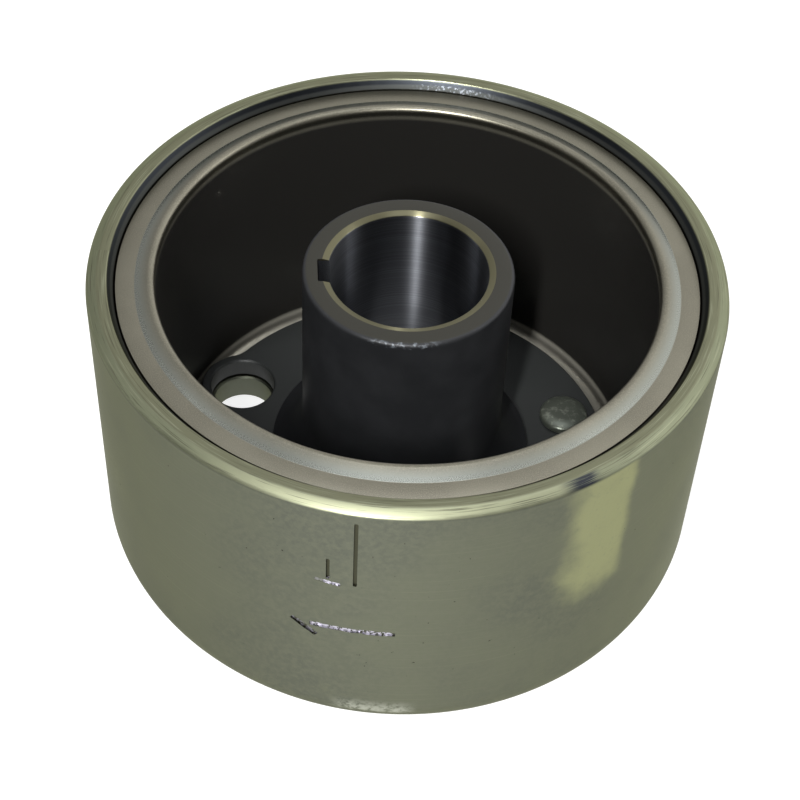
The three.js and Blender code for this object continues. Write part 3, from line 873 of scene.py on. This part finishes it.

# %% [markdown]
# ### The sleeve: drawn sheet
# Drawing stretches the sheet over the punch, which roughens it into a fine matt grain. The flange keeps
# that grain. The slope under the lip is rubbed smoother. The inner wall is coloured near black and
# made non-metallic, and its foot is coloured lighter.

# %% Drawn sheet steel
def drawn_steel():
    material, tree, shader, place, radius, height = new_finish("deep-drawn steel sheet")
    # The real grain is under 0.1 mm, too fine to show, so it is drawn at 0.2 mm.
    fine = grain(tree, place, 0.2 * MM, detail=2)
    cloud = grain(tree, place, 14 * MM)
    colour = tint(tree, linear("7d7a6d"), ramp(tree, cloud, 0.35, 0.65), linear("878476"))
    colour = tint(tree, colour, ramp(tree, fine, 0.4, 0.75), linear("969283"))
    dark_wall_mask = overlap(
        tree, ramp(tree, radius, SLEEVE_INNER + 0.45 * MM, SLEEVE_INNER + 0.1 * MM),
        ramp(tree, height, DRUM_HEIGHT - 2.3 * MM, DRUM_HEIGHT - 4 * MM),
        ramp(tree, height, 8.2 * MM, 10.5 * MM),
    )
    colour = tint(tree, colour, dark_wall_mask, linear("21201e"))
    foot = ramp(tree, height, 10.5 * MM, 9 * MM)
    colour = tint(tree, colour, foot, linear("98958a"))
    slope = overlap(
        tree, ramp(tree, radius, WALL_PLANE + 0.4 * MM, lip_foot - 0.1 * MM),
        ramp(tree, radius, lip_foot + 0.2 * MM, lip_foot),
        ramp(tree, height, FLANGE_PLANE + 0.3 * MM, FLANGE_PLANE + 0.5 * MM),
    )
    colour = tint(tree, colour, slope, linear("94978f"))
    tree.links.new(colour, shader.inputs["Base Color"])
    bare = add(tree, "Math", {0: 1, 1: dark_wall_mask}, operation="SUBTRACT").outputs[0]
    tree.links.new(bare, shader.inputs["Metallic"])
    rubbed = add(tree, "Math", {0: slope, 1: 0.1}, operation="MULTIPLY").outputs[0]
    rough = shift(tree, fine, 0.37, 0.08)
    rough = add(tree, "Math", {0: rough, 1: rubbed}, operation="SUBTRACT").outputs[0]
    tree.links.new(rough, shader.inputs["Roughness"])
    tree.links.new(relief(tree, fine, 0.005 * MM), shader.inputs["Normal"])
    return material


give(drawn_steel(), sleeve)

# %% [markdown]
# ### The rivets: plain steel
# A rivet head is struck by a tool, which leaves bright scuffs and small dents in a dull film of oxide.

# %% Rivet steel
def rivet_steel():
    material, tree, shader, place, *_ = new_finish("cold-headed rivet steel")
    scuffs = ramp(tree, grain(tree, place, 1.6 * MM, roughness=0.7), 0.5, 0.68)
    colour = tint(tree, linear("62675d"), scuffs, linear("8a8e82"))
    tree.links.new(colour, shader.inputs["Base Color"])
    shader.inputs["Metallic"].default_value = 0.6
    tree.links.new(shift(tree, scuffs, 0.42, 0.2), shader.inputs["Roughness"])
    tree.links.new(relief(tree, grain(tree, place, 0.8 * MM), 0.03 * MM), shader.inputs["Normal"])
    return material


give(rivet_steel(), *rivets)

# %% [markdown]
# ### The hidden ring of magnets
# The magnets, their separators and the two rings can't be seen on the finished flywheel, but someone who
# takes it apart finds them, so they have real finishes as well: sintered ferrite, ground on its curved
# faces; dark potting resin; and a die-cast aluminium ring.

# %% Ferrite, resin and cast aluminium
def plain_finish(name, dark, light, size, metallic, rough, depth):
    """A finish of two shades in even noise, for a piece that only a repairer sees."""
    material, tree, shader, place, *_ = new_finish(name)
    pattern = grain(tree, place, size, detail=5)
    colour = tint(tree, linear(dark), ramp(tree, pattern, 0.35, 0.68), linear(light))
    tree.links.new(colour, shader.inputs["Base Color"])
    shader.inputs["Metallic"].default_value = metallic
    tree.links.new(shift(tree, pattern, rough, 0.14), shader.inputs["Roughness"])
    tree.links.new(relief(tree, pattern, depth), shader.inputs["Normal"])
    return material


ferrite = plain_finish("sintered ferrite", "28282b", "3a3a3d", 0.8 * MM, 0, 0.62, 0.03 * MM)
resin = plain_finish("potting resin", "2e241c", "43362b", 3 * MM, 0, 0.45, 0.02 * MM)
aluminium = plain_finish("die-cast aluminium", "8f9192", "adafb0", 1.5 * MM, 1, 0.5, 0.03 * MM)
for name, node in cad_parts.items():
    if name.startswith("magnet_separator") or name == "upper_resin_ring":
        give(resin, node)
    elif name == "lower_spacer_ring":
        give(aluminium, node)
    elif name.startswith("magnet_") and name != "magnet_sleeve":
        give(ferrite, node)

# %% [markdown]
# ## Floor, light and camera
# The flywheel stands on a plain white floor, whose paint glows a little so that it stays even. The sky
# is dark in front and grows brighter to the right, which shades the curved walls from side to side as a
# studio with one lit wall does. A narrow softbox in front draws the bright upright line in the bore, two
# weak ones at the sides fill it, and a wide one overhead lights the slope under the sleeve's lip.

# %% Floor and world
bm = bmesh.new()
bmesh.ops.create_grid(bm, x_segments=1, y_segments=1, size=3)
floor = to_object(bm, "floor")
floor_paint = bpy.data.materials.new("white floor paint")
floor_paint.use_nodes = True
paint = floor_paint.node_tree.nodes["Principled BSDF"]
paint.inputs["Base Color"].default_value = linear("a8a8a6")
paint.inputs["Roughness"].default_value = 0.7
paint.inputs["Emission Color"].default_value = linear("ffffff")
paint.inputs["Emission Strength"].default_value = 0.8
give(floor_paint, floor)

world = bpy.data.worlds.new("studio")
world.use_nodes = True
sky = world.node_tree
toward = add(sky, "SeparateXYZ", {0: add(sky, "TexCoord").outputs["Generated"]})


def graded(value, start, end, low, high):
    """A strength that runs evenly from low at start to high at end."""
    return add(
        sky, "MapRange", {"Value": value, "From Min": start, "From Max": end, "To Min": low, "To Max": high},
    ).outputs[0]


from_left = graded(toward.outputs["X"], -0.9, 0.9, 0.33, 1.4)
from_front = graded(toward.outputs["Y"], -0.4, 0.05, 0.06, 1)
level = overlap(sky, from_left, from_front)
sky.nodes["Background"].inputs["Color"].default_value = linear("ffffff")
sky.links.new(level, sky.nodes["Background"].inputs["Strength"])
bpy.context.scene.world = world
bpy.context.scene.view_settings.view_transform = "Standard"

# %% Lights
def softbox(name, azimuth, rise, distance, size, watts, colour="ffffff"):
    """A rectangular light that faces the flywheel, at an azimuth and height angle in degrees."""
    lamp = bpy.data.lights.new(name, "AREA")
    lamp.shape = "RECTANGLE"
    lamp.size, lamp.size_y = size
    lamp.energy = watts
    lamp.color = linear(colour)[:3]
    light = bpy.data.objects.new(name, lamp)
    aim = Vector((0, 0, DRUM_HEIGHT / 2))
    flat = distance * cos(radians(rise))
    light.location = aim + polar(flat, azimuth, distance * sin(radians(rise)))
    light.rotation_euler = (light.location - aim).to_track_quat("Z", "Y").to_euler()
    bpy.context.collection.objects.link(light)
    print(name, "softbox,", watts, "W")


softbox("key", azimuth=-101, rise=45, distance=1.0, size=(0.04, 0.3), watts=11)
softbox("right side", azimuth=2, rise=40, distance=1.1, size=(0.08, 0.5), watts=0.8)
softbox("left side", azimuth=172, rise=40, distance=1.1, size=(0.08, 0.5), watts=0.4)
softbox("overhead", azimuth=90, rise=87, distance=1.3, size=(0.5, 0.5), watts=1.8, colour="f4f7ff")

# %% [markdown]
# The camera looks down by 43.6 degrees from a third of a metre away. It is aimed just past the rim's
# centre, and it leans by 3 degrees, as a camera held by hand does.

# %% Camera
RISE, DISTANCE = radians(43.64), 352.96 * MM
PAN, TILT, LEAN = radians(0.06), radians(-3.96), radians(3.01)
axes = Matrix.Rotation(radians(90) - RISE, 3, "X")
position = Vector((0, 0, DRUM_HEIGHT - MM)) + DISTANCE * (axes @ Vector((0, 0, 1)))
axes = axes @ Matrix.Rotation(PAN, 3, "Y") @ Matrix.Rotation(TILT, 3, "X") @ Matrix.Rotation(LEAN, 3, "Z")
lens = bpy.data.cameras.new("camera")
lens.lens = 84.64
lens.sensor_width = 36
lens.clip_start = 0.01
camera = bpy.data.objects.new("camera", lens)
camera.matrix_world = Matrix.Translation(position) @ axes.to_4x4()
bpy.context.collection.objects.link(camera)
bpy.context.scene.camera = camera
print("camera at", [round(v, 4) for v in position])
